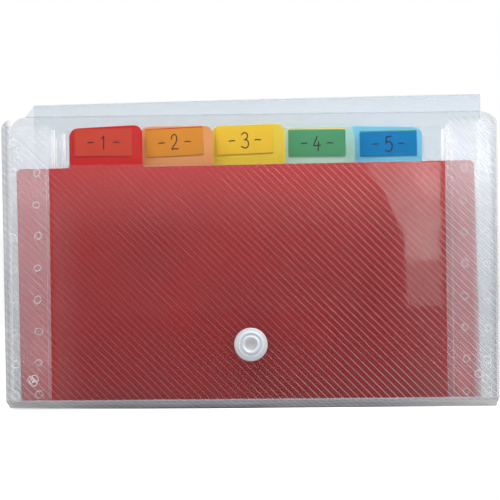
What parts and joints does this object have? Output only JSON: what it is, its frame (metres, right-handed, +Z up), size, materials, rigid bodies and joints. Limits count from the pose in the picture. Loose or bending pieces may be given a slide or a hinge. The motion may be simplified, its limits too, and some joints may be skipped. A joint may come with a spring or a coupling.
{
  "type": "accordion file folder",
  "caption": "Cheque-size plastic accordion file with a clear notched cover, tabbed coloured dividers, label cards, welded side bellows and a snap flap folded back.",
  "frame": {"origin": "on the ground under the middle of the file, on the flat foot of the bottom panel", "axes": "+X to the right along the width, +Y from the front to the back, +Z up out of the pockets"},
  "size_m": [0.25, 0.0743, 0.158],
  "materials": {
    "clear_cover": "clear frosted polypropylene with fine embossed diagonal lines",
    "clear_film": "thin clear polypropylene film",
    "clear_bellows": "thin clear polypropylene with fine embossed diagonal lines",
    "clear_weld": "clear melted ring",
    "red_sheet": "translucent tinted polypropylene",
    "red_card": "matt coloured card",
    "orange_sheet": "translucent tinted polypropylene",
    "orange_card": "matt coloured card",
    "yellow_sheet": "translucent tinted polypropylene",
    "yellow_card": "matt coloured card",
    "green_sheet": "translucent tinted polypropylene",
    "green_card": "matt coloured card",
    "blue_sheet": "translucent tinted polypropylene",
    "blue_card": "matt coloured card",
    "white_snap": "white moulded plastic"
  },
  "bodies": {
    "cover": {"back_panel": "clear_cover", "bottom_panel": "clear_cover", "rear_pocket_sheet": "clear_film", "back_welds": "clear_weld", "left_pleat_6": "clear_bellows", "right_pleat_6": "clear_bellows"},
    "blue": {"blue_divider": "blue_sheet", "blue_sleeve": "clear_film", "blue_welds": "clear_weld", "left_pleat_5": "clear_bellows", "right_pleat_5": "clear_bellows"},
    "green": {"green_divider": "green_sheet", "green_sleeve": "clear_film", "green_welds": "clear_weld", "left_pleat_4": "clear_bellows", "right_pleat_4": "clear_bellows"},
    "yellow": {"yellow_divider": "yellow_sheet", "yellow_sleeve": "clear_film", "yellow_welds": "clear_weld", "left_pleat_3": "clear_bellows", "right_pleat_3": "clear_bellows"},
    "orange": {"orange_divider": "orange_sheet", "orange_sleeve": "clear_film", "orange_welds": "clear_weld", "left_pleat_2": "clear_bellows", "right_pleat_2": "clear_bellows"},
    "red": {"red_divider": "red_sheet", "red_sleeve": "clear_film", "red_welds": "clear_weld", "left_pleat_1": "clear_bellows", "right_pleat_1": "clear_bellows"},
    "front": {"front_panel": "clear_cover", "front_welds": "clear_weld", "snap_socket": "white_snap", "snap_rivet": "white_snap"},
    "spine": {"flap_spine": "clear_cover"},
    "flap": {"flap_panel": "clear_cover", "snap_stud": "white_snap", "snap_cap": "white_snap"},
    "red_card": {"red_label": "red_card"},
    "orange_card": {"orange_label": "orange_card"},
    "yellow_card": {"yellow_label": "yellow_card"},
    "green_card": {"green_label": "green_card"},
    "blue_card": {"blue_label": "blue_card"}
  },
  "joints": [
    {"name": "pocket_6_opening", "type": "hinge", "parent": "cover", "child": "blue", "pos_m": [0, -0.0165, 0.005], "axis": [1, 0, 0], "range_deg": [0, 9], "stiffness_Nm_per_rad": 0.2, "deforming": ["left_pleat_6", "right_pleat_6"]},
    {"name": "pocket_5_opening", "type": "hinge", "parent": "blue", "child": "green", "pos_m": [0, -0.0165, 0.005], "axis": [1, 0, 0], "range_deg": [0, 9], "stiffness_Nm_per_rad": 0.2, "deforming": ["left_pleat_5", "right_pleat_5"]},
    {"name": "pocket_4_opening", "type": "hinge", "parent": "green", "child": "yellow", "pos_m": [0, -0.0165, 0.005], "axis": [1, 0, 0], "range_deg": [0, 9], "stiffness_Nm_per_rad": 0.2, "deforming": ["left_pleat_4", "right_pleat_4"]},
    {"name": "pocket_3_opening", "type": "hinge", "parent": "yellow", "child": "orange", "pos_m": [0, -0.0165, 0.005], "axis": [1, 0, 0], "range_deg": [0, 9], "stiffness_Nm_per_rad": 0.2, "deforming": ["left_pleat_3", "right_pleat_3"]},
    {"name": "pocket_2_opening", "type": "hinge", "parent": "orange", "child": "red", "pos_m": [0, -0.0165, 0.005], "axis": [1, 0, 0], "range_deg": [0, 9], "stiffness_Nm_per_rad": 0.2, "deforming": ["left_pleat_2", "right_pleat_2"]},
    {"name": "pocket_1_opening", "type": "hinge", "parent": "red", "child": "front", "pos_m": [0, -0.0165, 0.005], "axis": [1, 0, 0], "range_deg": [0, 9], "stiffness_Nm_per_rad": 0.2, "deforming": ["left_pleat_1", "right_pleat_1"]},
    {"name": "spine_crease", "type": "hinge", "parent": "cover", "child": "spine", "pos_m": [0, 0.0165, 0.1496], "axis": [-1, 0, 0], "range_deg": [-167.5, 0]},
    {"name": "flap_crease", "type": "hinge", "parent": "spine", "child": "flap", "pos_m": [0, 0.05272, 0.15763], "axis": [-1, 0, 0], "range_deg": [-192.5, 0]},
    {"name": "red_label_slide", "type": "slide", "parent": "red", "child": "red_card", "axis": [0, 0, 1], "range_m": [0, 0.016]},
    {"name": "orange_label_slide", "type": "slide", "parent": "orange", "child": "orange_card", "axis": [0, 0, 1], "range_m": [0, 0.016]},
    {"name": "yellow_label_slide", "type": "slide", "parent": "yellow", "child": "yellow_card", "axis": [0, 0, 1], "range_m": [0, 0.016]},
    {"name": "green_label_slide", "type": "slide", "parent": "green", "child": "green_card", "axis": [0, 0, 1], "range_m": [0, 0.016]},
    {"name": "blue_label_slide", "type": "slide", "parent": "blue", "child": "blue_card", "axis": [0, 0, 1], "range_m": [0, 0.016]}
  ]
}
